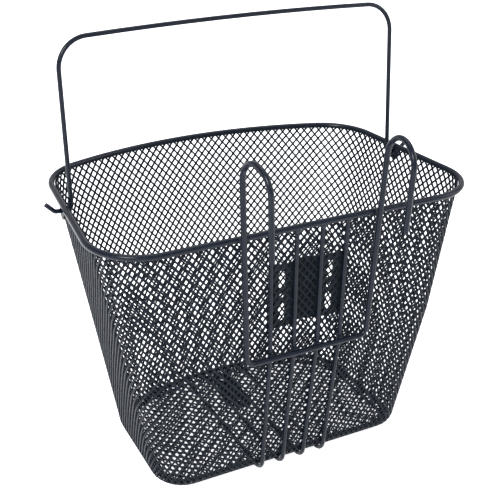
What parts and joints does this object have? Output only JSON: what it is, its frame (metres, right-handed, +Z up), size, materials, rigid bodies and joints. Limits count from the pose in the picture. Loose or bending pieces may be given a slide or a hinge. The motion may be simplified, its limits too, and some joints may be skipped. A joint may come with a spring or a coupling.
{
  "type": "handlebar basket",
  "caption": "Expanded-mesh bicycle basket on a wire frame, with handlebar hooks at the back, a perforated back plate and a swinging carrying handle.",
  "frame": {"origin": "middle of the whole basket's footprint, on the ground", "axes": "+Z up, +Y toward the bowed front away from the hooks, +X to the right when seen from the hook side"},
  "size_m": [0.3692, 0.2826, 0.3925],
  "materials": {
    "coated_wire": "satin black powder coat on steel wire",
    "coated_mesh": "satin black powder coat on expanded steel mesh",
    "coated_plate": "satin black powder coat on pressed steel",
    "coated_weld": "satin black powder coat over weld beads"
  },
  "bodies": {
    "basket": {"rim_wire": "coated_wire", "base_ring": "coated_wire", "wall_mesh": "coated_mesh", "floor_mesh": "coated_mesh", "back_wire_1": "coated_wire", "back_wire_2": "coated_wire", "back_wire_3": "coated_wire", "back_wire_4": "coated_wire", "hook_frame": "coated_wire", "back_plate": "coated_plate", "floor_plate": "coated_plate", "ear_left": "coated_plate", "ear_right": "coated_plate", "rim_welds": "coated_weld", "bar_welds": "coated_weld", "hook_welds": "coated_weld"},
    "handle": {"handle": "coated_wire"}
  },
  "joints": [
    {"name": "handle_hinge", "type": "hinge", "parent": "basket", "child": "handle", "pos_m": [0, 0.03354, 0.2447], "axis": [1, 0, 0], "range_deg": [-59, 67]}
  ]
}
